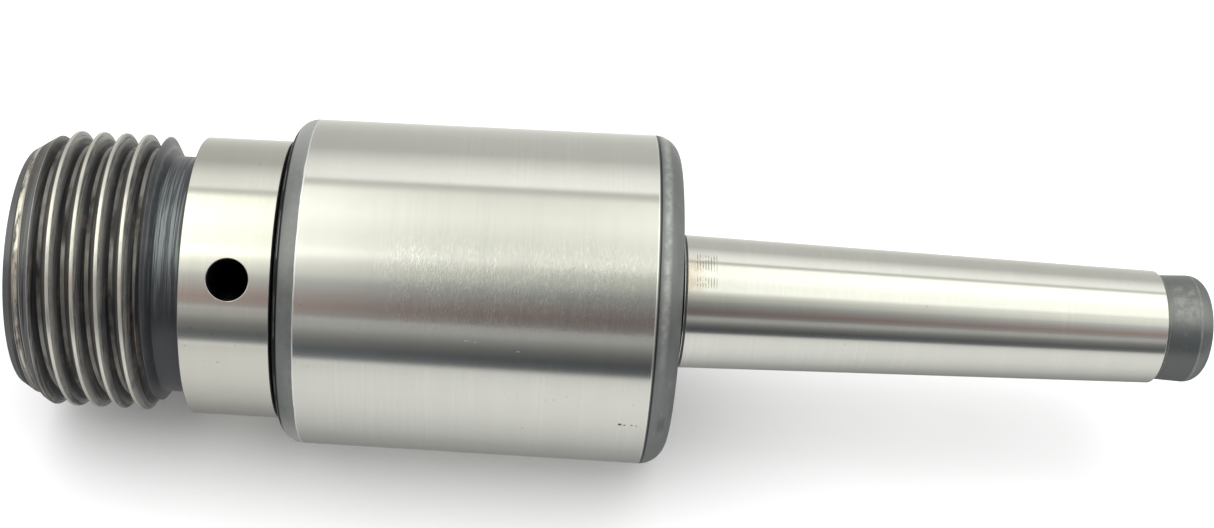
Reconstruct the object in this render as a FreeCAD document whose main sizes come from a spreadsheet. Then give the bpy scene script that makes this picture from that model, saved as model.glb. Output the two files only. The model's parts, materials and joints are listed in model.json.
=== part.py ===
"""Revolving live center for a lathe tailstock: a threaded nose that spins in a housing with a Morse taper.

The axis of rotation is X. The nose points along -X and the tapered shank along +X, with +Z up.
The origin is on the axis, at the gauge plane of the No. 2 Morse taper. All sizes are in millimetres.
"""
import FreeCAD, Part
import math
import os

import Sketcher

DIMENSIONS = [
    # Housing, turned in one piece with its shank
    ("housing_dia", 44.45, "ground outside diameter, 1-3/4 in"),
    ("housing_length", 51.7, "front face to rear face"),
    ("front_corner", 3.0, "radius of the front outer corner"),
    ("rear_corner", 3.4, "radius of the rear outer corner"),
    ("gauge_offset", 5.5, "rear face to the taper's gauge plane"),
    ("gauge_dia", 17.78, "No. 2 Morse taper diameter at the gauge plane"),
    ("taper_ratio", 0.04995, "No. 2 Morse taper, on diameter, per unit length"),
    ("taper_length", 57.6, "gauge plane to the small end of the ground taper"),
    ("shank_length", 64.0, "gauge plane to the end of the shank"),
    ("pilot_dia", 14.3, "turned end of the shank"),
    ("pilot_root_dia", 13.8, "its narrower root, next to the taper"),
    ("pilot_round", 2.0, "radius at the end of the shank"),
    ("relief_width", 1.25, "grinding relief at the root of the shank"),
    ("relief_depth", 0.25, "depth of that relief"),
    # Stepped bore, from the front
    ("gland_bore", 36.0, "seat of the pressed-in gland ring"),
    ("gland_depth", 4.0, "depth of that seat"),
    ("bearing_od", 35.0, "17 x 35 x 10 deep-groove ball bearing"),
    ("bearing_id", 17.0, "its bore"),
    ("bearing_width", 10.0, "its width"),
    ("spacer_length", 3.0, "spacer between the two front bearings"),
    ("thrust_bore", 30.8, "clearance bore round the thrust bearing"),
    ("thrust_height", 9.0, "17 x 30 x 9 thrust ball bearing"),
    ("thrust_od", 30.0, "its outside diameter"),
    ("spring_height", 0.8, "preload disc spring, fitted"),
    ("spring_thick", 0.5, "its sheet"),
    ("needle_bore", 18.0, "seat of the 12 x 18 x 12 drawn-cup needle bearing"),
    ("needle_inset", 1.0, "shoulder to the drawn cup"),
    ("needle_width", 12.0, "length of the drawn cup"),
    ("bore_run", 3.4, "bore left behind the drawn cup"),
    ("drill_point", 5.4, "depth of the drill point at the end of the bore"),
    # Spindle
    ("nose_dia", 38.1, "thread and collar, 1-1/2 in"),
    ("nose_length", 35.55, "front face to the rear face of the collar"),
    ("nose_face_dia", 32.8, "flat front face"),
    ("nose_bevel", 4.35, "length of the lead-in bevel"),
    ("pitch", 3.175, "8 threads to the inch"),
    ("crest_flat", 0.397, "an eighth of the pitch"),
    ("thread_depth", 1.948, "60-degree thread"),
    ("thread_lead_in", 1.835, "groove starts this far in front of the nose, above the axis"),
    ("neck_dia", 32.5, "undercut between thread and collar"),
    ("neck_length", 3.9, "its cylindrical length"),
    ("neck_bevel", 1.6, "length of its bevelled front wall"),
    ("collar_width", 11.95, "between its side faces"),
    ("collar_edge", 0.12, "broken edges of the collar"),
    ("bar_hole_dia", 5.5, "cross hole for a tommy bar"),
    ("bar_hole_setback", 5.55, "its axis, in front of the collar's rear face"),
    ("bar_hole_tilt", 43.6, "angle of that axis above the horizontal"),
    ("face_gap", 0.45, "between the collar and the housing"),
    ("journal_dia", 22.0, "sealed journal behind the collar"),
    ("waist_dia", 16.0, "spindle inside the thrust bearing"),
    ("tail_dia", 11.9, "needle journal"),
    ("tail_end", 16.4, "end of the spindle, in front of the gauge plane"),
    ("ring_groove_dia", 16.2, "retaining-ring groove"),
    ("ring_groove_width", 1.1, "its width"),
    # Centre holes
    ("nose_centre_dia", 10.6, "60-degree centre in the nose"),
    ("nose_drill_dia", 5.0, "its drill"),
    ("shank_centre_dia", 6.7, "60-degree centre in the shank"),
    ("shank_drill_dia", 3.15, "its drill"),
    ("tail_centre_dia", 4.25, "60-degree centre in the spindle's tail"),
    ("tail_drill_dia", 2.0, "its drill"),
    # Rolling elements
    ("ball_dia", 4.762, "3/16 in balls of both ball bearings"),
    ("groove_rad", 2.5, "raceway groove radius"),
    ("play", 0.05, "running clearance of every rolling element"),
    ("radial_pitch_dia", 26.0, "ball circle of the deep-groove bearing"),
    ("radial_balls", 10, "its balls"),
    ("inner_land_dia", 22.9, "shoulder of its inner ring"),
    ("outer_land_dia", 29.1, "shoulder of its outer ring"),
    ("shield_seat_dia", 30.4, "seat of its shields"),
    ("shield_inset", 0.3, "shield behind the face of the rings"),
    ("shield_thick", 0.4, "sheet of the shields"),
    ("thrust_pitch_dia", 23.5, "ball circle of the thrust bearing"),
    ("thrust_balls", 12, "its balls"),
    ("washer_gap", 1.65, "thrust washer face to the ball plane"),
    ("housing_washer_id", 18.0, "bore of the stationary washer"),
    ("needle_dia", 2.0, "needles"),
    ("needle_length", 9.0, "their length"),
    ("needle_pitch_dia", 14.0, "needle circle"),
    ("needle_count", 14, "needles in the drawn cup"),
    ("cup_lip", 0.8, "turned-in ends of the drawn cup"),
    ("cup_lip_dia", 13.2, "opening between them"),
    # Cages, seal and small parts
    ("cage_sheet", 0.6, "sheet of the riveted ribbon cage"),
    ("cage_in_dia", 24.3, "ribbon cage, inside"),
    ("cage_out_dia", 27.7, "ribbon cage, outside"),
    ("pocket_play", 0.08, "cage pocket round a ball"),
    ("rivet_dia", 0.8, "cage rivets"),
    ("rivet_head_dia", 1.5, "their heads"),
    ("rivet_head", 0.3, "height of a head"),
    ("thrust_cage_thick", 1.6, "flat cage of the thrust bearing"),
    ("thrust_cage_in", 18.4, "its inside diameter"),
    ("thrust_cage_out", 28.8, "its outside diameter"),
    ("needle_cage_in", 12.8, "needle cage, inside"),
    ("needle_cage_out", 15.2, "needle cage, outside"),
    ("needle_cage_play", 0.15, "needle cage to the lips of the cup"),
    ("gland_recess", 0.2, "gland ring below the housing's front face"),
    ("gland_play", 0.25, "gland ring round the journal"),
    ("gland_relief", 0.5, "gland ring clear of the turning inner ring"),
    ("felt_od", 29.0, "felt seal, outside"),
    ("felt_width", 2.0, "its width"),
    ("felt_wall", 0.8, "gland wall in front of the felt"),
    ("spacer_od", 22.4, "spacer sleeve"),
    ("spacer_recess_dia", 21.0, "recess in the spacer over the retaining ring"),
    ("spacer_recess", 1.3, "depth of that recess"),
    ("ring_thick", 1.0, "retaining ring"),
    ("ring_out_dia", 19.6, "its outside diameter"),
    ("ring_shift", 0.3, "its outside is this far off centre"),
    ("ring_gap", 40.0, "angle of its gap"),
    ("lug_dia", 2.1, "lugs at the gap"),
    ("lug_hole_dia", 0.9, "plier holes in the lugs"),
    ("lug_circle_dia", 18.7, "circle of the lugs"),
]

doc = FreeCAD.newDocument("live_center")
sheet = doc.addObject("Spreadsheet::Sheet", "Sheet")
for row, (alias, value, meaning) in enumerate(DIMENSIONS, start=1):
    sheet.set(f"A{row}", meaning)
    sheet.set(f"B{row}", str(value))
    sheet.setAlias(f"B{row}", alias)
doc.recompute()

# Places along the axis, as expressions that start from the gauge plane of the taper
HOUSING_REAR = "(0 - Sheet.gauge_offset)"
HOUSING_FRONT = f"({HOUSING_REAR} - Sheet.housing_length)"
BEARING_FRONT = f"({HOUSING_FRONT} + Sheet.gland_depth)"
BEARING_MID = f"({BEARING_FRONT} + Sheet.bearing_width / 2)"
BEARING_REAR = f"({BEARING_FRONT} + Sheet.bearing_width)"
THRUST_FRONT = f"({BEARING_REAR} + Sheet.spacer_length)"
THRUST_MID = f"({THRUST_FRONT} + Sheet.thrust_height / 2)"
THRUST_REAR = f"({THRUST_FRONT} + Sheet.thrust_height)"
SHOULDER = f"({THRUST_REAR} + Sheet.spring_height)"
CUP_FRONT = f"({SHOULDER} + Sheet.needle_inset)"
CUP_MID = f"({CUP_FRONT} + Sheet.needle_width / 2)"
CUP_REAR = f"({CUP_FRONT} + Sheet.needle_width)"
BORE_END = f"({CUP_REAR} + Sheet.bore_run)"
COLLAR_REAR = f"({HOUSING_FRONT} - Sheet.face_gap)"
COLLAR_FRONT = f"({COLLAR_REAR} - Sheet.collar_width)"
NOSE_FRONT = f"({COLLAR_REAR} - Sheet.nose_length)"
TAIL_END = "(0 - Sheet.tail_end)"


def half(alias):
    """Expression for half of a diameter in the sheet."""
    return f"(Sheet.{alias} / 2)"


def number(expression):
    """Present value of an expression, as a plain number."""
    found = sheet.evalExpression(expression)
    return float(getattr(found, "Value", found))


def new_body(label):
    body = doc.addObject("PartDesign::Body", label)
    body.Label = label
    body.AllowCompound = True
    return body


def origin_feature(body, role):
    return next(f for f in body.Origin.OriginFeatures if f.Role == role)


def new_sketch(body, role="XZ_Plane"):
    """Empty sketch on one of the body's own origin planes. On XZ its axes are the row's X and Z."""
    sketch = body.newObject("Sketcher::SketchObject", f"{body.Label}_sketch")
    sketch.AttachmentSupport = [(origin_feature(body, role), "")]
    sketch.MapMode = "FlatFace"
    return sketch


def minor_arc(start, end, radius, side):
    """Arc of less than half a turn from start to end, with its centre on the given side of the chord."""
    chord = end - start
    middle = (start + end) / 2
    across = FreeCAD.Vector(-chord.y, chord.x, 0).normalize()
    centre = middle + across * side * math.sqrt(max(radius**2 - (chord.Length / 2) ** 2, 0))
    circle = Part.Circle(centre, FreeCAD.Vector(0, 0, 1), radius)
    angles = [math.atan2(p.y - centre.y, p.x - centre.x) for p in (start, end)]
    forward = (angles[1] - angles[0]) % (2 * math.pi) < math.pi
    if forward:
        return Part.ArcOfCircle(circle, angles[0], angles[1]), (1, 2)
    return Part.ArcOfCircle(circle, angles[1], angles[0]), (2, 1)


def draw_outline(sketch, corners):
    """Closed outline through corners (along, radius), bound to the sheet.

    A corner (along, radius, arc radius, side) starts an arc to the next corner. Its centre is on that side:
    1 left, -1 right.
    """
    spots = [FreeCAD.Vector(number(c[0]), number(c[1]), 0) for c in corners]
    ends = []
    for place, corner in enumerate(corners):
        start, end = spots[place], spots[(place + 1) % len(spots)]
        if len(corner) == 4:
            arc, order = minor_arc(start, end, number(corner[2]), corner[3])
            index = sketch.addGeometry(arc, False)
            radius = sketch.addConstraint(Sketcher.Constraint("Radius", index, number(corner[2])))
            sketch.setExpression(f"Constraints[{radius}]", corner[2])
        else:
            index = sketch.addGeometry(Part.LineSegment(start, end), False)
            order = (1, 2)
        ends.append((index, order))
    for place, (index, order) in enumerate(ends):
        after, after_order = ends[(place + 1) % len(ends)]
        sketch.addConstraint(Sketcher.Constraint("Coincident", index, order[1], after, after_order[0]))
    for (index, order), corner, spot in zip(ends, corners, spots):
        for kind, expression, value in (("DistanceX", corner[0], spot.x), ("DistanceY", corner[1], spot.y)):
            added = sketch.addConstraint(Sketcher.Constraint(kind, -1, 1, index, order[0], value))
            sketch.setExpression(f"Constraints[{added}]", expression)


def revolve(body, corners, feature="PartDesign::Revolution", axis="H_Axis"):
    """Full turn of an outline, added to the body or, as a Groove, taken away from it."""
    sketch = new_sketch(body)
    draw_outline(sketch, corners)
    turned = body.newObject(feature, f"{body.Label}_turned")
    turned.Profile = sketch
    turned.ReferenceAxis = (sketch, [axis])
    turned.Angle = 360
    sketch.Visibility = False
    return turned


def rectangle(front, inner, rear, outer):
    """Corners of a rectangle between two places on the axis and two radii."""
    return [(front, inner), (rear, inner), (rear, outer), (front, outer)]


def turned_ring(label, front, rear, inner, outer):
    """Plain ring between two places on the axis and two radii."""
    body = new_body(label)
    revolve(body, rectangle(front, inner, rear, outer))
    return body


def around(body, feature, count):
    """Repeats a feature round the axis, count times."""
    doc.recompute()
    pattern = body.newObject("PartDesign::PolarPattern", f"{body.Label}_pattern")
    pattern.Originals = [feature]
    pattern.Axis = (origin_feature(body, "X_Axis"), [""])
    pattern.Angle = 360
    pattern.setExpression("Occurrences", count)
    body.Tip = pattern
    return pattern


def sphere(body, kind, radius, along, off_axis):
    """Additive or subtractive sphere above the axis."""
    ball = body.newObject(f"PartDesign::{kind}Sphere", f"{body.Label}_sphere")
    ball.setExpression("Radius", radius)
    ball.setExpression("Placement.Base.x", along)
    ball.setExpression("Placement.Base.z", off_axis)
    return ball


def cylinder(body, kind, radius, length, start, off_axis):
    """Additive or subtractive cylinder above the axis and parallel to it."""
    rod = body.newObject(f"PartDesign::{kind}Cylinder", f"{body.Label}_rod")
    rod.Placement = FreeCAD.Placement(FreeCAD.Vector(), FreeCAD.Rotation(FreeCAD.Vector(0, 1, 0), 90))
    rod.setExpression("Radius", radius)
    rod.setExpression("Height", length)
    rod.setExpression("Placement.Base.x", start)
    rod.setExpression("Placement.Base.z", off_axis)
    return rod


def centre_hole(face, into, cone, drill):
    """Outline corners of a 60-degree centre hole, from the axis out to its mouth. into is + or -."""
    cone_depth = f"(({half(cone)} - {half(drill)}) / tan(30 deg))"
    drill_end = f"({face} {into} {cone_depth} {into} Sheet.{drill} * 1.2)"
    return [
        (f"({drill_end} {into} {half(drill)} * tan(31 deg))", "0"),
        (drill_end, half(drill)),
        (f"({face} {into} {cone_depth})", half(drill)),
        (face, half(cone)),
    ]


def make_housing():
    """Housing and Morse taper shank in one piece, with the stepped bore for the bearings."""
    body = new_body("housing")
    outer = half("housing_dia")
    relief = f"({half('gauge_dia')} - Sheet.relief_depth)"
    relief_end = f"({HOUSING_REAR} + Sheet.relief_width)"
    taper_start = f"({relief_end} + Sheet.relief_depth)"
    pilot = half("pilot_dia")

    def taper(along):
        return f"({half('gauge_dia')} - Sheet.taper_ratio / 2 * {along})"

    root = half("pilot_root_dia")
    pilot_start = f"(Sheet.taper_length + {taper('Sheet.taper_length')} - {root})"

    revolve(body, [
        (f"({BORE_END} + Sheet.drill_point)", "0"),
        (BORE_END, half("needle_bore")),
        (SHOULDER, half("needle_bore")),
        (SHOULDER, half("thrust_bore")),
        (BEARING_REAR, half("thrust_bore")),
        (BEARING_REAR, half("bearing_od")),
        (BEARING_FRONT, half("bearing_od")),
        (BEARING_FRONT, half("gland_bore")),
        (HOUSING_FRONT, half("gland_bore")),
        (HOUSING_FRONT, f"({outer} - Sheet.front_corner)", "Sheet.front_corner", -1),
        (f"({HOUSING_FRONT} + Sheet.front_corner)", outer),
        (f"({HOUSING_REAR} - Sheet.rear_corner)", outer, "Sheet.rear_corner", -1),
        (HOUSING_REAR, f"({outer} - Sheet.rear_corner)"),
        (HOUSING_REAR, relief),
        (relief_end, relief),
        (taper_start, taper(taper_start)),
        ("Sheet.taper_length", taper("Sheet.taper_length")),
        (pilot_start, root),
        ("(Sheet.shank_length - Sheet.pilot_round)", pilot, "Sheet.pilot_round", -1),
        ("Sheet.shank_length", f"({pilot} - Sheet.pilot_round)"),
        *reversed(centre_hole("Sheet.shank_length", "-", "shank_centre_dia", "shank_drill_dia")),
    ])
    return body


def make_spindle():
    """Spindle: threaded nose, collar with its cross hole, and the stepped shaft that carries the bearings."""
    body = new_body("spindle")
    nose = half("nose_dia")
    seat = half("bearing_id")
    groove_end = f"({BEARING_REAR} + Sheet.ring_groove_width)"
    seat_end = f"({THRUST_MID} - Sheet.washer_gap)"
    waist_end = f"({SHOULDER} + 0.3)"
    edge = "Sheet.collar_edge"
    neck_rear = COLLAR_FRONT
    neck_front = f"({neck_rear} - Sheet.neck_length)"
    tail_bevel = 0.6
    revolve(body, [
        *centre_hole(NOSE_FRONT, "+", "nose_centre_dia", "nose_drill_dia"),
        (NOSE_FRONT, half("nose_face_dia")),
        (f"({NOSE_FRONT} + Sheet.nose_bevel)", nose),
        (f"({neck_front} - Sheet.neck_bevel)", nose),
        (neck_front, half("neck_dia")),
        (neck_rear, half("neck_dia")),
        (COLLAR_FRONT, f"({nose} - {edge})"),
        (f"({COLLAR_FRONT} + {edge})", nose),
        (f"({COLLAR_REAR} - {edge})", nose),
        (COLLAR_REAR, f"({nose} - {edge})"),
        (COLLAR_REAR, half("journal_dia")),
        (BEARING_FRONT, half("journal_dia")),
        (BEARING_FRONT, seat),
        (BEARING_REAR, seat),
        (BEARING_REAR, half("ring_groove_dia")),
        (groove_end, half("ring_groove_dia")),
        (groove_end, seat),
        (seat_end, seat),
        (seat_end, half("waist_dia")),
        (waist_end, half("waist_dia")),
        (waist_end, half("tail_dia")),
        (f"({TAIL_END} - {tail_bevel})", half("tail_dia")),
        (TAIL_END, f"({half('tail_dia')} - {tail_bevel})"),
        *reversed(centre_hole(TAIL_END, "-", "tail_centre_dia", "tail_drill_dia")),
    ])
    cut_nose_thread(body)
    cut_bar_hole(body)
    return body


def cut_nose_thread(body):
    """Right-hand 60-degree groove that runs from in front of the nose into the neck."""
    doc.recompute()
    before = body.Shape.Volume
    start = f"({NOSE_FRONT} - Sheet.thread_lead_in)"
    over = 0.3
    root = f"({half('nose_dia')} - Sheet.thread_depth)"
    mouth = f"({half('nose_dia')} + {over})"
    half_mouth = f"((Sheet.pitch - Sheet.crest_flat) / 2 + {over} * tan(30 deg))"
    half_root = f"((Sheet.pitch - Sheet.crest_flat) / 2 - Sheet.thread_depth * tan(30 deg))"
    sketch = new_sketch(body)
    draw_outline(sketch, [
        (f"({start} - {half_root})", root),
        (f"({start} + {half_root})", root),
        (f"({start} + {half_mouth})", mouth),
        (f"({start} - {half_mouth})", mouth),
    ])
    thread = body.newObject("PartDesign::SubtractiveHelix", "spindle_thread")
    thread.Profile = sketch
    thread.ReferenceAxis = (sketch, ["H_Axis"])
    thread.Mode = 0
    thread.setExpression("Pitch", "Sheet.pitch")
    thread.setExpression("Height", f"{COLLAR_FRONT} - Sheet.neck_length / 2 - {start}")
    thread.Angle = 0
    thread.LeftHanded = False
    thread.Reversed = False
    sketch.Visibility = False
    doc.recompute()
    if body.Shape.Volume >= before:
        raise RuntimeError("the nose thread cut nothing")


def cut_bar_hole(body):
    """Cross hole through the collar, tilted up towards the front of the lathe."""
    doc.recompute()
    before = body.Shape.Volume
    tilt = number("Sheet.bar_hole_tilt")
    reach = number("Sheet.nose_dia")
    outward = FreeCAD.Vector(0, -math.cos(math.radians(tilt)), math.sin(math.radians(tilt)))
    start = FreeCAD.Vector(number(f"{COLLAR_REAR} - Sheet.bar_hole_setback"), 0, 0) - outward * reach
    hole = body.newObject("PartDesign::SubtractiveCylinder", "spindle_bar_hole")
    hole.Placement = FreeCAD.Placement(start, FreeCAD.Rotation(FreeCAD.Vector(0, 0, 1), outward))
    hole.setExpression("Radius", half("bar_hole_dia"))
    hole.setExpression("Height", "2 * Sheet.nose_dia")
    doc.recompute()
    if body.Shape.Volume >= before:
        raise RuntimeError("the bar hole cut nothing")


def make_gland_ring():
    """Ring pressed into the mouth of the housing. It holds the bearing's outer ring and the felt seal."""
    body = new_body("gland_ring")
    front = f"({HOUSING_FRONT} + Sheet.gland_recess)"
    felt_front = f"({front} + Sheet.felt_wall)"
    felt_rear = f"({felt_front} + Sheet.felt_width)"
    relief = f"({BEARING_FRONT} - Sheet.gland_relief)"
    inner = f"({half('journal_dia')} + Sheet.gland_play)"
    revolve(body, [
        (front, inner),
        (felt_front, inner),
        (felt_front, half("felt_od")),
        (felt_rear, half("felt_od")),
        (felt_rear, inner),
        (relief, inner),
        (relief, half("shield_seat_dia")),
        (BEARING_FRONT, half("shield_seat_dia")),
        (BEARING_FRONT, half("gland_bore")),
        (front, half("gland_bore")),
    ])
    return body


def make_felt_seal():
    front = f"({HOUSING_FRONT} + Sheet.gland_recess + Sheet.felt_wall)"
    rear = f"({front} + Sheet.felt_width)"
    return turned_ring("felt_seal", front, rear, f"({half('journal_dia')} + Sheet.play)", half("felt_od"))


def radial_groove(land, bottom, side):
    """Two corners of a ring's raceway: an arc across the bearing's middle plane."""
    centre = f"({bottom} + Sheet.groove_rad * {side})"
    rise = f"({land} - {centre})"
    reach = f"sqrt(Sheet.groove_rad * Sheet.groove_rad - {rise} * {rise})"
    return f"({BEARING_MID} - {reach})", f"({BEARING_MID} + {reach})"


def make_inner_ring():
    body = new_body("front_bearing_inner_ring")
    land = half("inner_land_dia")
    bottom = f"({half('radial_pitch_dia')} - {half('ball_dia')} - Sheet.play)"
    groove_front, groove_rear = radial_groove(land, bottom, 1)
    revolve(body, [
        (BEARING_FRONT, half("bearing_id")),
        (BEARING_FRONT, land),
        (groove_front, land, "Sheet.groove_rad", 1),
        (groove_rear, land),
        (BEARING_REAR, land),
        (BEARING_REAR, half("bearing_id")),
    ])
    return body


def make_outer_ring():
    body = new_body("front_bearing_outer_ring")
    land = half("outer_land_dia")
    seat = half("shield_seat_dia")
    bottom = f"({half('radial_pitch_dia')} + {half('ball_dia')} + Sheet.play)"
    groove_front, groove_rear = radial_groove(land, bottom, -1)
    step_front = f"({BEARING_FRONT} + Sheet.shield_inset + Sheet.shield_thick)"
    step_rear = f"({BEARING_REAR} - Sheet.shield_inset - Sheet.shield_thick)"
    revolve(body, [
        (BEARING_FRONT, half("bearing_od")),
        (BEARING_FRONT, seat),
        (step_front, seat),
        (step_front, land),
        (groove_front, land, "Sheet.groove_rad", -1),
        (groove_rear, land),
        (step_rear, land),
        (step_rear, seat),
        (BEARING_REAR, seat),
        (BEARING_REAR, half("bearing_od")),
    ])
    return body


def make_shields():
    """Sheet shields, pressed into the outer ring and clear of the inner ring."""
    inner = f"({half('inner_land_dia')} + 0.2)"
    outer = half("shield_seat_dia")
    front = f"({BEARING_FRONT} + Sheet.shield_inset)"
    rear = f"({BEARING_REAR} - Sheet.shield_inset)"
    return [
        turned_ring("front_bearing_shield_front", front, f"({front} + Sheet.shield_thick)", inner, outer),
        turned_ring("front_bearing_shield_rear", f"({rear} - Sheet.shield_thick)", rear, inner, outer),
    ]


def make_radial_balls():
    body = new_body("front_bearing_balls")
    ball = sphere(body, "Additive", half("ball_dia"), BEARING_MID, half("radial_pitch_dia"))
    around(body, ball, "Sheet.radial_balls")
    return body


def make_cage_half(label, sign):
    """Half of the riveted ribbon cage: a flat ring with round pockets pressed towards one side."""
    body = new_body(label)
    inner, outer = half("cage_in_dia"), half("cage_out_dia")
    flat = f"({BEARING_MID} {sign} Sheet.cage_sheet)"
    pocket = f"({half('ball_dia')} + Sheet.pocket_play)"
    shell = f"({pocket} + Sheet.cage_sheet)"
    circle = half("radial_pitch_dia")
    revolve(body, rectangle(BEARING_MID, inner, flat, outer))
    around(body, sphere(body, "Additive", shell, BEARING_MID, circle), "Sheet.radial_balls")
    far = "(2 * Sheet.ball_dia)"
    low, high = f"({BEARING_MID} - {far})", f"({BEARING_MID} + {far})"
    other_side = high if sign == "-" else low
    for corners in (
        rectangle(low, f"({inner} - Sheet.ball_dia)", high, inner),
        rectangle(low, outer, high, f"({outer} + Sheet.ball_dia)"),
        rectangle(BEARING_MID, f"({inner} - 0.5)", other_side, f"({outer} + 0.5)"),
    ):
        doc.recompute()
        revolve(body, corners, "PartDesign::Groove")
    doc.recompute()
    around(body, sphere(body, "Subtractive", pocket, BEARING_MID, circle), "Sheet.radial_balls")
    doc.recompute()
    start = f"({BEARING_MID} - Sheet.ball_dia)"
    hole = cylinder(body, "Subtractive", half("rivet_dia"), far, start, circle)
    turn_about_axis(hole, "180 / Sheet.radial_balls", circle)
    around(body, hole, "Sheet.radial_balls")
    return body


def turn_about_axis(feature, degrees, radius):
    """Moves a primitive round the axis by an angle that starts above the axis."""
    feature.setExpression("Placement.Base.y", f"0 - {radius} * sin({degrees} * 1 deg)")
    feature.setExpression("Placement.Base.z", f"{radius} * cos({degrees} * 1 deg)")


def make_cage_rivets():
    """Rivets between the pockets of the ribbon cage. The stem runs through both heads."""
    body = new_body("front_cage_rivets")
    circle = half("radial_pitch_dia")
    head = "Sheet.rivet_head"
    front = f"({BEARING_MID} - Sheet.cage_sheet - {head})"
    pieces = [
        (half("rivet_dia"), f"(2 * Sheet.cage_sheet + 2 * {head})", front),
        (half("rivet_head_dia"), head, front),
        (half("rivet_head_dia"), head, f"({BEARING_MID} + Sheet.cage_sheet)"),
    ]
    for radius, length, start in pieces:
        rod = cylinder(body, "Additive", radius, length, start, circle)
        turn_about_axis(rod, "180 / Sheet.radial_balls", circle)
        around(body, rod, "Sheet.radial_balls")
        doc.recompute()
    return body


def make_spacer():
    """Sleeve between the inner ring and the shaft washer, recessed over the retaining ring."""
    body = new_body("spacer_sleeve")
    recess_end = f"({BEARING_REAR} + Sheet.spacer_recess)"
    revolve(body, [
        (BEARING_REAR, half("spacer_recess_dia")),
        (recess_end, half("spacer_recess_dia")),
        (recess_end, half("bearing_id")),
        (THRUST_FRONT, half("bearing_id")),
        (THRUST_FRONT, half("spacer_od")),
        (BEARING_REAR, half("spacer_od")),
    ])
    return body


def make_retaining_ring():
    """External retaining ring in its groove: an eccentric ring with a gap and two eyed lugs."""
    label = "retaining_ring"
    start = BEARING_REAR

    def disc(name, radius, along=start, y_shift="0", z_shift="0", height="Sheet.ring_thick"):
        rod = doc.addObject("Part::Cylinder", f"{label}_{name}")
        rod.Placement = FreeCAD.Placement(FreeCAD.Vector(), FreeCAD.Rotation(FreeCAD.Vector(0, 1, 0), 90))
        rod.setExpression("Radius", radius)
        rod.setExpression("Height", height)
        rod.setExpression("Placement.Base.x", along)
        rod.setExpression("Placement.Base.y", y_shift)
        rod.setExpression("Placement.Base.z", z_shift)
        return rod

    def eye(name, radius, side, height="Sheet.ring_thick", along=start):
        turn = f"({side} * (Sheet.ring_gap / 2 + 6) * 1 deg)"
        across = f"{half('lug_circle_dia')} * sin({turn})"
        up = f"{half('lug_circle_dia')} * cos({turn})"
        return disc(name, radius, along, across, up, height)

    outside = disc("outside", half("ring_out_dia"), z_shift="0 - Sheet.ring_shift")
    wedge = doc.addObject("Part::Wedge", f"{label}_gap")
    wedge.Placement = FreeCAD.Placement(FreeCAD.Vector(), FreeCAD.Rotation(FreeCAD.Vector(1, 0, 0), 90))
    reach = half("nose_dia")
    spread = f"({reach} * tan(Sheet.ring_gap / 2 * 1 deg))"
    for name, expression in (
        ("Xmin", f"{start} - 1"),
        ("Xmax", f"{start} + 2"),
        ("X2min", f"{start} - 1"),
        ("X2max", f"{start} + 2"),
        ("Ymin", "0"),
        ("Ymax", reach),
        ("Zmin", "0 - 0.01"),
        ("Zmax", "0.01"),
        ("Z2min", f"0 - {spread}"),
        ("Z2max", spread),
    ):
        wedge.setExpression(name, expression)
    gapped = doc.addObject("Part::Cut", f"{label}_gapped")
    gapped.Base, gapped.Tool = outside, wedge
    lugged = doc.addObject("Part::MultiFuse", f"{label}_lugged")
    lugged.Shapes = [gapped, eye("lug_left", half("lug_dia"), -1), eye("lug_right", half("lug_dia"), 1)]
    holes = doc.addObject("Part::MultiFuse", f"{label}_holes")
    before = f"({start} - 1)"
    holes.Shapes = [
        disc("inside", half("ring_groove_dia"), before, height="3"),
        eye("eye_left", half("lug_hole_dia"), -1, "3", before),
        eye("eye_right", half("lug_hole_dia"), 1, "3", before),
    ]
    ring = doc.addObject("Part::Cut", label)
    ring.Base, ring.Tool = lugged, holes
    ring.Label = label
    return ring


def make_thrust_washer(label, face_place, sign, inner):
    """Grooved washer of the thrust bearing. sign is the side of the ball plane that it is on."""
    body = new_body(label)
    near = f"({THRUST_MID} {sign} Sheet.washer_gap)"
    depth = f"({half('ball_dia')} + Sheet.play)"
    rise = f"(Sheet.groove_rad - {depth} + Sheet.washer_gap)"
    reach = f"sqrt(Sheet.groove_rad * Sheet.groove_rad - {rise} * {rise})"
    circle = half("thrust_pitch_dia")
    side = 1 if sign == "-" else -1
    revolve(body, [
        (face_place, inner),
        (near, inner),
        (near, f"({circle} - {reach})", "Sheet.groove_rad", -side),
        (near, f"({circle} + {reach})"),
        (near, half("thrust_od")),
        (face_place, half("thrust_od")),
    ])
    return body


def make_thrust_cage():
    """Flat ring with a round pocket for each ball of the thrust bearing."""
    body = new_body("thrust_cage")
    front = f"({THRUST_MID} - Sheet.thrust_cage_thick / 2)"
    rear = f"({THRUST_MID} + Sheet.thrust_cage_thick / 2)"
    revolve(body, rectangle(front, half("thrust_cage_in"), rear, half("thrust_cage_out")))
    doc.recompute()
    pocket = f"({half('ball_dia')} + Sheet.pocket_play)"
    circle = half("thrust_pitch_dia")
    hole = cylinder(body, "Subtractive", pocket, "Sheet.thrust_height", THRUST_FRONT, circle)
    around(body, hole, "Sheet.thrust_balls")
    return body


def make_thrust_balls():
    body = new_body("thrust_balls")
    ball = sphere(body, "Additive", half("ball_dia"), THRUST_MID, half("thrust_pitch_dia"))
    around(body, ball, "Sheet.thrust_balls")
    return body


def make_disc_spring():
    """Coned preload spring between the stationary thrust washer and the housing's shoulder."""
    body = new_body("preload_disc_spring")
    inner = f"({half('housing_washer_id')} + 0.2)"
    outer = f"({half('thrust_bore')} - 0.2)"
    revolve(body, [
        (THRUST_REAR, inner),
        (f"({THRUST_REAR} + Sheet.spring_thick)", inner),
        (SHOULDER, outer),
        (f"({SHOULDER} - Sheet.spring_thick)", outer),
    ])
    return body


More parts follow.
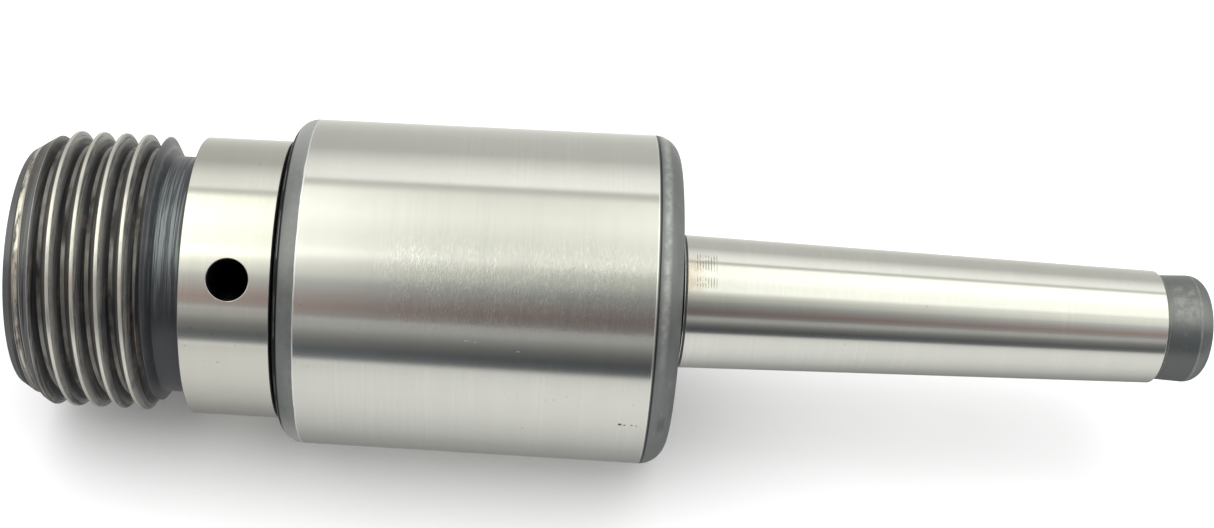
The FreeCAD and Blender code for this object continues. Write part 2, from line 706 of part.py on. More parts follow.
def make_needle_cup():
    """Drawn cup with turned-in ends, pressed into the rear bore."""
    body = new_body("needle_bearing_cup")
    race = f"({half('needle_pitch_dia')} + {half('needle_dia')} + Sheet.play)"
    lip = half("cup_lip_dia")
    revolve(body, [
        (CUP_FRONT, half("needle_bore")),
        (CUP_FRONT, lip),
        (f"({CUP_FRONT} + Sheet.cup_lip)", lip),
        (f"({CUP_FRONT} + Sheet.cup_lip)", race),
        (f"({CUP_REAR} - Sheet.cup_lip)", race),
        (f"({CUP_REAR} - Sheet.cup_lip)", lip),
        (CUP_REAR, lip),
        (CUP_REAR, half("needle_bore")),
    ])
    return body


def make_needle_cage():
    """Tube with a long window for each needle."""
    body = new_body("needle_cage")
    front = f"({CUP_FRONT} + Sheet.cup_lip + Sheet.needle_cage_play)"
    rear = f"({CUP_REAR} - Sheet.cup_lip - Sheet.needle_cage_play)"
    inner, outer = half("needle_cage_in"), half("needle_cage_out")
    revolve(body, rectangle(front, inner, rear, outer))
    doc.recompute()
    window = body.newObject("PartDesign::SubtractiveBox", "needle_cage_window")
    width = "(Sheet.needle_dia + 2 * Sheet.play)"
    length = "(Sheet.needle_length + 4 * Sheet.play)"
    window.setExpression("Length", length)
    window.setExpression("Width", width)
    window.setExpression("Height", "Sheet.needle_dia")
    window.setExpression("Placement.Base.x", f"{CUP_MID} - {length} / 2")
    window.setExpression("Placement.Base.y", f"0 - {width} / 2")
    window.setExpression("Placement.Base.z", f"{half('needle_pitch_dia')} - {half('needle_dia')}")
    around(body, window, "Sheet.needle_count")
    return body


def make_needles():
    body = new_body("needle_rollers")
    start = f"({CUP_MID} - Sheet.needle_length / 2)"
    circle = half("needle_pitch_dia")
    roller = cylinder(body, "Additive", half("needle_dia"), "Sheet.needle_length", start, circle)
    around(body, roller, "Sheet.needle_count")
    return body


nodes = [
    make_housing(),
    make_gland_ring(),
    make_felt_seal(),
    make_outer_ring(),
    *make_shields(),
    make_thrust_washer("thrust_housing_washer", THRUST_REAR, "+", half("housing_washer_id")),
    make_disc_spring(),
    make_needle_cup(),
    make_spindle(),
    make_inner_ring(),
    make_spacer(),
    make_retaining_ring(),
    make_thrust_washer("thrust_shaft_washer", THRUST_FRONT, "-", half("bearing_id")),
    make_cage_half("front_cage_half_a", "-"),
    make_cage_half("front_cage_half_b", "+"),
    make_cage_rivets(),
    make_radial_balls(),
    make_thrust_cage(),
    make_thrust_balls(),
    make_needle_cage(),
    make_needles(),
]
doc.recompute()

for item in doc.Objects:
    if "Invalid" in item.State or "Error" in item.State:
        raise RuntimeError(f"{item.Label} failed: {item.State}")
for node in nodes:
    if node.Shape.isNull() or not node.Shape.isValid():
        raise RuntimeError(f"{node.Label} has no valid shape")

os.makedirs("parts", exist_ok=True)
for node in nodes:
    node.Shape.exportStep(f"parts/{node.Label}.step")
    box = node.Shape.optimalBoundingBox(False)
    print(
        f"{node.Label}: {len(node.Shape.Solids)} solid, {node.Shape.Volume:.1f} mm3, "
        f"x {box.XMin:.2f}..{box.XMax:.2f}, radius {max(box.YMax, box.ZMax):.2f}"
    )
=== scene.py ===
import json
import math

import bpy
import numpy as np
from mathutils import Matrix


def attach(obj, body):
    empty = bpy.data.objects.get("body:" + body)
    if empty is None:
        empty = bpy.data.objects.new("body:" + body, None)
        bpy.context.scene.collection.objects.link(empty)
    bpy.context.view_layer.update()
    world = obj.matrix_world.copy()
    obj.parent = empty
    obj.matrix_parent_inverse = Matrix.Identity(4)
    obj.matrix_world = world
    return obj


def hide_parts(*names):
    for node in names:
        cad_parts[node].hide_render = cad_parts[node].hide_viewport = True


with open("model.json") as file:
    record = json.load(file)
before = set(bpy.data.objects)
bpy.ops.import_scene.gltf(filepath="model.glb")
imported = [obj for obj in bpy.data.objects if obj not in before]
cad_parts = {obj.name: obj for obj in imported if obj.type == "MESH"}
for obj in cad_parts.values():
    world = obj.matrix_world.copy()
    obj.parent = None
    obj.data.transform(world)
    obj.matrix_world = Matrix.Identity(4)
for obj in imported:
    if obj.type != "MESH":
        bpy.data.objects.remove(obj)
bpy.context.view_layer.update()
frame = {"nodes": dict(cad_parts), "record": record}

# The axis of rotation is X, the nose points along -X and +Z is up. The origin is at the taper's gauge plane.
# Sizes are in millimetres along X or from the axis, and are scaled to metres when a mesh is made.
MM = 0.001
AROUND = 256
TAN_30 = math.tan(math.radians(30))

# threaded nose
PITCH = 3.175
MAJOR = 19.05
ROOT = 17.102
ROOT_FLAT = 0.529
GROOVE_START = -95.035
NOSE_FRONT = -93.2
NOSE_FACE = 16.4
BEVEL_END = -88.85
BEVEL_SLOPE = (MAJOR - NOSE_FACE) / (BEVEL_END - NOSE_FRONT)
THREAD_END = -75.1
NECK_FRONT = -73.5
NECK = 16.25
WALL_SLOPE = (MAJOR - NECK) / (NECK_FRONT - THREAD_END)
# where the thread's own mesh ends, and where the turned pieces reach a little under it
STRIP_FRONT, STRIP_REAR = -92.8, -73.7
UNDER_FRONT, UNDER_REAR = -92.1, -73.9
BEVEL_JOIN, WALL_JOIN = -92.2, -73.85

# collar, with the cross hole for a tommy bar
COLLAR_FRONT = -69.6
COLLAR_REAR = -57.65
COLLAR_EDGE = 0.12
HOLE_X = -63.2
HOLE_R = 2.75
HOLE_CELL = 97  # the hole's direction, counted in steps of the lathe grid from +Y

# housing, shank and the bearing seats between housing and spindle
HOUSING_FRONT = -57.2
HOUSING_REAR = -5.5
HOUSING_R = 22.225
FRONT_ARC = 3.0
REAR_ARC = 3.4
RELIEF_R = 8.64
RELIEF_END = -4.25
SHANK_START = -4.0
TAPER_END = 57.6
PILOT_ROOT = 6.9
SHANK_END = 64.0
BALL_FRONT, BALL_REAR = -53.2, -43.2
RING_GROOVE_REAR = -42.1
THRUST_FRONT = -37.35
SPINDLE_END = -16.4


# ---------------------------------------------------------------- turned shapes

def rounded(corners):
    """Points (x, r, normal x, normal r) along a turned outline, from corners (x, r, radius of rounding)."""
    degrees_per_step = 5
    points = np.array([c[:2] for c in corners], float)
    steps = points[1:] - points[:-1]
    lengths = np.hypot(steps[:, 0], steps[:, 1])
    steps /= lengths[:, None]
    outward = np.stack([-steps[:, 1], steps[:, 0]], 1)
    rows = [(*points[0], *outward[0])]
    for k in range(1, len(points) - 1):
        before, after = outward[k - 1], outward[k]
        cross = steps[k - 1][0] * steps[k][1] - steps[k - 1][1] * steps[k][0]
        turn = math.atan2(cross, float(steps[k - 1] @ steps[k]))
        radius = corners[k][2]
        if radius <= 0 or abs(turn) < 1e-4:
            middle = before + after
            middle /= np.hypot(*middle)
            rows.append((*points[k], *middle))
            continue
        reach = radius * math.tan(abs(turn) / 2)
        convex = turn < 0
        start = points[k] - steps[k - 1] * reach
        centre = start - before * radius if convex else start + before * radius
        count = max(4, int(abs(math.degrees(turn)) / degrees_per_step))
        angle = math.atan2(before[1], before[0])
        for j in range(count + 1):
            bearing = angle + turn * j / count
            normal = np.array([math.cos(bearing), math.sin(bearing)])
            place = centre + normal * radius * (1 if convex else -1)
            rows.append((*place, *normal))
    rows.append((*points[-1], *outward[-1]))
    return rows


class Shape:
    """Vertices with their own normals, collected in millimetres, then made into one smooth mesh object."""

    def __init__(self):
        self.places, self.normals, self.faces = [], [], []

    def add(self, place, normal):
        self.places.append(place)
        self.normals.append(normal)
        return len(self.places) - 1

    def lathe(self, outline):
        """Turns an outline about X. Travelling towards +X, the outside is on its upper side."""
        rings = []
        for x, r, nx, nr in outline:
            if r < 1e-6:
                rings.append([self.add((x, 0, 0), (math.copysign(1, nx), 0, 0))] * AROUND)
                continue
            ring = []
            for k in range(AROUND):
                c, s = math.cos(math.tau * k / AROUND), math.sin(math.tau * k / AROUND)
                ring.append(self.add((x, r * c, r * s), (nx, nr * c, nr * s)))
            rings.append(ring)
        for a, b in zip(rings, rings[1:]):
            for k in range(AROUND):
                n = (k + 1) % AROUND
                corners = [a[k], a[n], b[n], b[k]]
                self.faces.append(list(dict.fromkeys(corners)))
        return rings

    def make(self, name, body, nodes, slot, material):
        mesh = bpy.data.meshes.new(name)
        mesh.from_pydata([tuple(c * MM for c in p) for p in self.places], [], self.faces)
        mesh.polygons.foreach_set("use_smooth", [True] * len(mesh.polygons))
        normals = np.array(self.normals, float)
        normals /= np.linalg.norm(normals, axis=1)[:, None]
        mesh.normals_split_custom_set_from_vertices([tuple(n) for n in normals])
        mesh.materials.append(material)
        piece = bpy.data.objects.new(name, mesh)
        bpy.context.scene.collection.objects.link(piece)
        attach(piece, body)
        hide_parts(*nodes)
        return piece


def centre_hole(face, into, cone, drill, edge=0.12):
    """Outline of a 60-degree centre hole, from the axis to its mouth. into is 1 towards +X, -1 towards -X.

    cone is the radius of the mouth, and drill that of the hole behind the cone, which has a 118-degree tip."""
    drilled = 2.4 * drill
    shoulder = face + into * (cone - drill) / TAN_30
    bottom = shoulder + into * drilled
    tip = bottom + into * drill * math.tan(math.radians(31))
    return [(tip, 0.0, 0), (bottom, drill, 0), (shoulder, drill, 0.05), (face, cone, edge)]


def taper(x):
    """Radius of the No. 2 Morse taper at x."""
    return 8.89 - 0.024975 * x


def housing_shape():
    """Outline from the blind end of the bore to the housing's mouth, and back over the outside to the shank."""
    shape = Shape()
    tail_bore, thrust_bore, ball_bore, mouth = 9.0, 15.4, 17.5, 18.0
    tail_bore_front = -30.4
    outline = [
        (-8.6, 0.0, 0),
        (-14.0, tail_bore, 0),
        (tail_bore_front, tail_bore, 0.2),
        (tail_bore_front, thrust_bore, 0.2),
        (BALL_REAR, thrust_bore, 0.2),
        (BALL_REAR, ball_bore, 0.2),
        (BALL_FRONT, ball_bore, 0.1),
        (BALL_FRONT, mouth, 0.1),
        (HOUSING_FRONT, mouth, 0.25),
        (HOUSING_FRONT, HOUSING_R, FRONT_ARC),
        (HOUSING_REAR, HOUSING_R, REAR_ARC),
        (HOUSING_REAR, RELIEF_R, 0.12),
        (RELIEF_END, RELIEF_R, 0.08),
        (SHANK_START, taper(SHANK_START), 0.06),
        (TAPER_END, taper(TAPER_END), 0.1),
        (TAPER_END + taper(TAPER_END) - PILOT_ROOT, PILOT_ROOT, 0.1),
        (SHANK_END, 7.15, 2.0),
        *reversed(centre_hole(SHANK_END, -1, 3.35, 1.575)),
    ]
    shape.lathe(rounded(outline))
    return shape


# ---------------------------------------------------------------- threaded nose

def smooth_min(a, b, width):
    return -width * np.logaddexp(-a / width, -b / width)


def smooth_max(a, b, width):
    return width * np.logaddexp(a / width, b / width)


def nose_outline(x):
    """Radius of the nose without its groove: bevel, crests and the bevelled wall of the neck."""
    bevel = NOSE_FACE + (x - NOSE_FRONT) * BEVEL_SLOPE
    wall = MAJOR - (x - THREAD_END) * WALL_SLOPE
    return smooth_min(smooth_min(bevel, np.full_like(x, MAJOR), 0.03), wall, 0.04)


def thread_radius(x, turn):
    """Radius of the threaded nose at x. turn counts turns of the right-hand groove, from +Z at its start.

    Past UNDER_FRONT and UNDER_REAR it sinks a little, to lie under the turned pieces."""
    along = (x - GROOVE_START) / PITCH - turn
    offset = np.abs(along - np.round(along)) * PITCH
    flank = ROOT + (offset - ROOT_FLAT / 2) / TAN_30
    groove = smooth_max(np.full_like(x, ROOT), flank, 0.05)
    under = np.clip((UNDER_FRONT - x) / 0.1, 0, 1) + np.clip((x - UNDER_REAR) / 0.1, 0, 1)
    return smooth_min(nose_outline(x), groove, 0.055) - 0.008 * np.clip(under, 0, 1)


def thread_shape():
    """One helical strip of surface that follows the groove, so that crests and roots stay clean.

    Its columns lie across it, from one groove's middle to the next one's, and close together at the edges."""
    shape = Shape()
    half_columns = np.concatenate([
        [0.0, 0.14, 0.22, 0.265, 0.31, 0.38],
        np.linspace(0.38, 1.30, 13)[1:],
        [1.345, 1.375, 1.40, 1.43, 1.48],
    ])
    columns = np.concatenate([half_columns, [PITCH / 2], PITCH - half_columns[:0:-1]])
    count, per_turn, turns = len(columns), 300, 8
    rows = per_turn * turns + 1
    m = np.arange(rows)[:, None] / per_turn
    x = GROOVE_START + PITCH * (m - 1) + columns[None, :]
    turn = np.broadcast_to(m, x.shape)
    angle = math.pi / 2 + math.tau * turn
    radius = thread_radius(x, turn)
    step, swing = 0.002, 1e-4
    slope = (thread_radius(x + step, turn) - thread_radius(x - step, turn)) / (2 * step)
    rise = thread_radius(x, turn + swing) - thread_radius(x, turn - swing)
    lead = rise / (2 * swing * math.tau * radius)
    c, s = np.cos(angle), np.sin(angle)
    places = np.stack([x, radius * c, radius * s], -1)
    normals = np.stack([-slope, c + lead * s, s - lead * c], -1)
    for place, normal in zip(places.reshape(-1, 3), normals.reshape(-1, 3)):
        shape.add(tuple(place), tuple(normal))
    index = np.arange(rows * count).reshape(rows, count)
    for row in range(rows - 1):
        for k in range(count):
            if k + 1 < count:
                a, b = index[row, k + 1], index[row + 1, k + 1]
                ahead = x[row, k + 1]
            elif row + 1 + per_turn < rows:
                a, b = index[row + per_turn, 0], index[row + 1 + per_turn, 0]
                ahead = x[row + per_turn, 0]
            else:
                continue
            if STRIP_FRONT < (x[row, k] + ahead) / 2 < STRIP_REAR:
                shape.faces.append([int(v) for v in (index[row, k], index[row + 1, k], b, a)])
    return drop_unused(shape)


def drop_unused(shape):
    """Takes out the vertices that no face uses."""
    used = sorted({v for face in shape.faces for v in face})
    renumber = {old: new for new, old in enumerate(used)}
    shape.places = [shape.places[v] for v in used]
    shape.normals = [shape.normals[v] for v in used]
    shape.faces = [[renumber[v] for v in face] for face in shape.faces]
    return shape


# ---------------------------------------------------------------- spindle without its thread

def on_collar(x, angle):
    """Place and normal on the collar's cylinder."""
    c, s = math.cos(angle), math.sin(angle)
    return (x, MAJOR * c, MAJOR * s), (0, c, s)


def collar_surface(shape):
    """The collar's ground surface, with the two mouths of the cross hole let into its grid."""
    half_cells = 8
    cell = math.tau / AROUND
    reach = half_cells * cell * MAJOR
    lines = [COLLAR_FRONT + COLLAR_EDGE]
    lines += [HOLE_X - reach + reach * k / half_cells for k in range(2 * half_cells + 1)]
    lines += [COLLAR_REAR - COLLAR_EDGE]
    mouths = [HOLE_CELL, HOLE_CELL + AROUND // 2]
    rings = []
    for x in lines:
        rings.append([shape.add(*on_collar(x, cell * k)) for k in range(AROUND)])
    for row, (a, b) in enumerate(zip(rings, rings[1:])):
        for k in range(AROUND):
            near = min(abs((k + 0.5 - mouth + AROUND / 2) % AROUND - AROUND / 2) for mouth in mouths)
            if 1 <= row <= 2 * half_cells and near < half_cells:
                continue
            n = (k + 1) % AROUND
            shape.faces.append([a[k], a[n], b[n], b[k]])
    first, second = (hole_mouth(shape, rings, mouth, half_cells, cell) for mouth in mouths)
    count = len(first)
    for k in range(count):
        n = (k + 1) % count
        far_k, far_n = (count // 2 - k) % count, (count // 2 - k - 1) % count
        shape.faces.append([first[k], first[n], second[far_n], second[far_k]])


def hole_mouth(shape, rings, mouth, half_cells, cell):
    """Fills the square around one mouth with loops that turn from the grid into the hole's rounded edge.

    Returns the last loop, from which the hole's wall goes straight to the other mouth."""
    h = half_cells
    border = [(h, j) for j in range(-h, h)] + [(i, h) for i in range(h, -h, -1)]
    border += [(-h, j) for j in range(h, -h, -1)] + [(i, -h) for i in range(-h, h)]
    outer = [rings[1 + h + i][(mouth + j) % AROUND] for i, j in border]
    count = len(border)
    centre = cell * mouth
    bearings = [math.atan2(j, i) for i, j in border]
    edge, levels = 0.08, 6
    loops = [outer]
    for level in range(1, levels + 1):
        share = (1 - level / levels) ** 1.3
        loop = []
        for (i, j), bearing in zip(border, bearings):
            u = (HOLE_R + edge) * math.cos(bearing)
            w = math.asin((HOLE_R + edge) * math.sin(bearing) / MAJOR)
            x = u + (i * cell * MAJOR - u) * share
            swing = w + (j * cell - w) * share
            loop.append(shape.add(*on_collar(HOLE_X + x, centre + swing)))
        loops.append(loop)
    out = np.array([0, math.cos(centre), math.sin(centre)])
    side = np.array([0, -math.sin(centre), math.cos(centre)])
    along = np.array([1.0, 0, 0])
    for tilt in (30, 60, 90):
        lean = math.radians(tilt)
        loop = []
        for bearing in bearings:
            radial = along * math.cos(bearing) + side * math.sin(bearing)
            reach = HOLE_R + edge * (1 - math.sin(lean))
            across = reach * math.sin(bearing)
            height = math.sqrt(MAJOR**2 - across**2) - edge * (1 - math.cos(lean))
            place = along * HOLE_X + radial * reach + out * height
            loop.append(shape.add(tuple(place), tuple(out * math.cos(lean) - radial * math.sin(lean))))
        loops.append(loop)
    for a, b in zip(loops, loops[1:]):
        for k in range(count):
            n = (k + 1) % count
            shape.faces.append([a[k], b[k], b[n], a[n]])
    return loops[-1]


def spindle_shape():
    """The nose's face, the neck, the collar, and the stepped shaft down to its rear end."""
    shape = Shape()
    journal, ball_seat, ring_groove, thrust_seat, needle_seat = 11.0, 8.5, 8.1, 8.0, 5.95
    needle_front, chamfer = -30.1, 0.6
    shape.lathe(rounded([
        *centre_hole(NOSE_FRONT, 1, 5.3, 2.5),
        (NOSE_FRONT, NOSE_FACE, 0.12),
        (BEVEL_JOIN, NOSE_FACE + (BEVEL_JOIN - NOSE_FRONT) * BEVEL_SLOPE, 0),
    ]))
    shape.lathe(rounded([
        (WALL_JOIN, MAJOR - (WALL_JOIN - THREAD_END) * WALL_SLOPE, 0),
        (NECK_FRONT, NECK, 0.3),
        (COLLAR_FRONT, NECK, 0.3),
        (COLLAR_FRONT, MAJOR - COLLAR_EDGE, 0.03),
        (COLLAR_FRONT + COLLAR_EDGE, MAJOR, 0),
    ]))
    collar_surface(shape)
    shape.lathe(rounded([
        (COLLAR_REAR - COLLAR_EDGE, MAJOR, 0),
        (COLLAR_REAR, MAJOR - COLLAR_EDGE, 0.03),
        (COLLAR_REAR, journal, 0.1),
        (BALL_FRONT, journal, 0.1),
        (BALL_FRONT, ball_seat, 0.05),
        (BALL_REAR, ball_seat, 0),
        (BALL_REAR, ring_groove, 0),
        (RING_GROOVE_REAR, ring_groove, 0),
        (RING_GROOVE_REAR, ball_seat, 0),
        (THRUST_FRONT, ball_seat, 0.1),
        (THRUST_FRONT, thrust_seat, 0.1),
        (needle_front, thrust_seat, 0.2),
        (needle_front, needle_seat, 0.2),
        (SPINDLE_END - chamfer, needle_seat, 0.1),
        (SPINDLE_END, needle_seat - chamfer, 0.1),
        *reversed(centre_hole(SPINDLE_END, -1, 2.125, 1.0, 0.05)),
    ]))
    return shape


# ---------------------------------------------------------------- shader helpers

class Graph:
    """Adds nodes to one node tree and wires them. A value is a constant or another node's socket."""

    def link(self, value, socket):
        if isinstance(value, bpy.types.NodeSocket):
            self.tree.links.new(value, socket)
        else:
            socket.default_value = value

    def split(self, value):
        node = self.tree.nodes.new("ShaderNodeSeparateXYZ")
        self.link(value, node.inputs[0])
        return node.outputs

    def math(self, kind, a, b=0.0, c=0.0):
        node = self.tree.nodes.new("ShaderNodeMath")
        node.operation = kind
        for value, socket in zip((a, b, c), node.inputs):
            self.link(value, socket)
        return node.outputs[0]

    def step(self, value, low, high):
        """Smooth step from 0 at low to 1 at high. low may be above high."""
        node = self.tree.nodes.new("ShaderNodeMapRange")
        node.interpolation_type = "SMOOTHSTEP"
        self.link(value, node.inputs["Value"])
        flip = low > high
        node.inputs["From Min"].default_value = min(low, high)
        node.inputs["From Max"].default_value = max(low, high)
        node.inputs["To Min"].default_value = 1.0 if flip else 0.0
        node.inputs["To Max"].default_value = 0.0 if flip else 1.0
        return node.outputs[0]


class Nodes(Graph):
    """One material. Lengths are in millimetres, angles in degrees.

    x, y, z and r say where a point lies, and facing is its normal's share along X. turn is the angle about +X,
    from 0 to 360, that starts at +Y and passes +Z at 90."""

    def __init__(self, name):
        self.material = bpy.data.materials.new(name)
        self.material.use_nodes = True
        self.tree = self.material.node_tree
        self.tree.nodes.clear()
        self.output = self.tree.nodes.new("ShaderNodeOutputMaterial")
        self.shader = self.tree.nodes.new("ShaderNodeBsdfPrincipled")
        self.tree.links.new(self.shader.outputs[0], self.output.inputs["Surface"])
        coordinates = self.tree.nodes.new("ShaderNodeTexCoord")
        self.place = self.vector("SCALE", coordinates.outputs["Object"], 1 / MM)
        self.x, self.y, self.z = self.split(self.place)
        self.facing = self.split(coordinates.outputs["Normal"])[0]
        squares = [self.math("MULTIPLY", side, side) for side in (self.y, self.z)]
        self.r = self.math("SQRT", self.math("ADD", *squares))
        behind = self.math("ARCTAN2", *(self.math("MULTIPLY", side, -1.0) for side in (self.z, self.y)))
        self.turn = self.math("MULTIPLY_ADD", behind, 180 / math.pi, 180.0)

    def vector(self, kind, a, b):
        node = self.tree.nodes.new("ShaderNodeVectorMath")
        node.operation = kind
        self.link(a, node.inputs[0])
        self.link(b, node.inputs["Scale"] if kind == "SCALE" else node.inputs[1])
        return node.outputs[0]

    def noise(self, along, across, shift=0.0, detail=2.0, rough=0.5):
        """Noise with so many features to a millimetre along X and across it. shift picks another pattern."""
        scaled = self.vector("MULTIPLY", self.place, (along, across, across))
        node = self.tree.nodes.new("ShaderNodeTexNoise")
        self.link(self.vector("ADD", scaled, (shift, shift * 0.7, shift * 1.3)), node.inputs["Vector"])
        node.inputs["Scale"].default_value = 1.0
        node.inputs["Detail"].default_value = detail
        node.inputs["Roughness"].default_value = rough
        return node.outputs[0]

    def band(self, value, low, high, soft=0.05):
        """1 between low and high, with edges that fade over twice soft."""
        rise = self.step(value, low - soft, low + soft)
        return self.math("MULTIPLY", rise, self.step(value, high + soft, high - soft))

    def all_of(self, *shares):
        result = shares[0]
        for share in shares[1:]:
            result = self.math("MULTIPLY", result, share)
        return result

    def any_of(self, *shares):
        result = shares[0]
        for share in shares[1:]:
            result = self.math("MAXIMUM", result, share)
        return result

    def mix(self, share, a, b):
        """Mix of two numbers."""
        node = self.tree.nodes.new("ShaderNodeMix")
        node.data_type = "FLOAT"
        for value, socket in zip((share, a, b), (node.inputs[0], node.inputs[2], node.inputs[3])):
            self.link(value, socket)
        return node.outputs[0]

    def blend(self, share, a, b):
        """Mix of two colours."""
        node = self.tree.nodes.new("ShaderNodeMix")
        node.data_type = "RGBA"
        for value, socket in zip((share, a, b), (node.inputs[0], node.inputs[6], node.inputs[7])):
            self.link((*value, 1.0) if isinstance(value, tuple) else value, socket)
        return node.outputs[2]

    def bump(self, *layers):
        """Bump from pairs of a height between 0 and 1 and the depth in millimetres that it stands for."""
        height = None
        for value, depth in layers:
            part = self.math("MULTIPLY", value, depth)
            height = part if height is None else self.math("ADD", height, part)
        node = self.tree.nodes.new("ShaderNodeBump")
        node.inputs["Strength"].default_value = 1.0
        node.inputs["Distance"].default_value = MM
        self.link(height, node.inputs["Height"])
        self.link(node.outputs[0], self.shader.inputs["Normal"])

    def around_axis(self, amount):
        """Anisotropy directed around X, as turning and cylindrical grinding leave it."""
        node = self.tree.nodes.new("ShaderNodeTangent")
        node.direction_type = "RADIAL"
        node.axis = "X"
        self.link(node.outputs[0], self.shader.inputs["Tangent"])
        self.shader.inputs["Anisotropic"].default_value = amount
        self.shader.inputs["Anisotropic Rotation"].default_value = 0.25


def tinted(colour, share):
    """The colour, made so many times brighter."""
    return tuple(c * share for c in colour)


class Steel(Nodes):
    """Ground bright steel and black oxide on one turned piece. Marks are added one after another."""

    def __init__(self, name, bright_tone, black_tone):
        super().__init__(name)
        self.bright_tone, self.black_tone = bright_tone, black_tone
        fine, coarse = self.noise(9.0, 0.10, 0, 3.0, 0.65), self.noise(2.4, 0.05, 3.0, 2.0, 0.6)
        self.lines = self.mix(0.45, fine, coarse)
        self.broad = self.noise(0.35, 0.03, 9.0, 1.0)
        self.grain = self.noise(3.2, 3.2, 5.0, 4.0, 0.6)
        self.cloud = self.noise(0.40, 0.40, 2.0, 4.0, 0.6)
        self.turned = self.noise(5.0, 0.06, 1.0, 3.0, 0.7)
        # a patch of the housing with short smudges instead of clean lines
        self.smudged = self.all_of(
            self.mix(self.step(self.cloud, 0.36, 0.56), 0.35, 1.0),
            self.band(self.turn, 118, 148, 7),
            self.band(self.x, HOUSING_FRONT + 14.0, HOUSING_REAR - 3.0, 4.0),
        )

    def ground(self, rough):
        """Colour and roughness of the ground surface."""
        tone = self.bright_tone
        colour = self.blend(self.step(self.lines, 0.30, 0.70), tinted(tone, 0.955), tone)
        colour = self.blend(self.step(self.broad, 0.30, 0.70), tinted(tone, 0.96), colour)
        fine = self.noise(6.5, 1.3, 70.0, 2.0, 0.6)
        stains = self.noise(0.25, 0.45, 21.0, 3.0, 0.6)
        pits = self.noise(2.2, 2.2, 5.5, 2.0, 0.5)
        for share, mark in (
            (self.all_of(self.smudged, self.step(fine, 0.50, 0.64)), tinted(tone, 0.92)),
            (self.all_of(self.smudged, self.step(fine, 0.46, 0.34)), tinted(tone, 1.07)),
            (self.all_of(self.step(stains, 0.56, 0.70), 0.10), tinted(tone, 0.80)),
            (self.all_of(self.step(pits, 0.745, 0.775), 0.55), (0.16, 0.15, 0.14)),
        ):
            colour = self.blend(share, colour, mark)
        return colour, self.mix(self.step(self.lines, 0.25, 0.75), rough * 1.15, rough * 0.9)

    def black(self, rough):
        """Colour and roughness of the black-oxide surface, with its turning marks."""
        tone = self.black_tone
        colour = self.blend(self.step(self.cloud, 0.35, 0.70), tinted(tone, 0.82), tinted(tone, 1.18))
        lines = self.step(self.turned, 0.54, 0.74)
        colour = self.blend(self.all_of(lines, 0.45), colour, tinted(tone, 1.9))
        scuffs = self.step(self.noise(1.3, 0.8, 31.0, 4.0, 0.7), 0.60, 0.72)
        colour = self.blend(self.all_of(scuffs, 0.45), colour, tinted(tone, 2.6))
        return colour, self.mix(self.step(self.cloud, 0.3, 0.7), rough * 0.88, rough * 1.12)

    def finish(self, mask, ground, black, marks, index):
        """Joins the ground surface, where mask is 1, and the black one, and sets the shader.

        Marks are laid over them: (where, strength, colour, roughness, metallic)."""
        colour = self.blend(mask, black[0], ground[0])
        rough = self.mix(mask, black[1], ground[1])
        metal = mask
        for where, strength, tone, mark_rough, mark_metal in marks:
            share = self.all_of(where, strength)
            colour = self.blend(share, colour, tone)
            rough = self.mix(share, rough, mark_rough)
            metal = self.mix(share, metal, mark_metal)
        self.link(colour, self.shader.inputs["Base Color"])
        self.link(rough, self.shader.inputs["Roughness"])
        self.link(metal, self.shader.inputs["Metallic"])
        self.shader.inputs["IOR"].default_value = index
        self.around_axis(0.85)
        coarse = self.math("SUBTRACT", 1.0, mask)
        self.bump(
            (self.lines, 0.0012),
            (self.grain, 0.0010),
            (self.all_of(self.noise(7.5, 3.0, 40.0, 2.0, 0.6), self.smudged), 0.010),
            (self.all_of(coarse, self.turned), 0.006),
            (self.all_of(coarse, self.grain), 0.004),
        )
        return self.material

    def nick(self, x, turn, length, width):
        """Small mark on the housing at x and turn, so long along the axis and so wide."""
        reach = math.degrees(width / HOUSING_R)
        return self.all_of(
            self.band(self.x, x - length / 2, x + length / 2, length / 5),
            self.band(self.turn, turn - reach / 2, turn + reach / 2, reach / 3),
        )

    def nicks(self, *places):
        return self.any_of(*(self.nick(*place) for place in places))


# colours for bright marks and painted highlights, and for dark marks and painted shade
BRIGHT_MARK_AND_HIGHLIGHT, DARK_MARK_AND_SHADE = (0.95, 0.95, 0.94), (0.012, 0.012, 0.016)


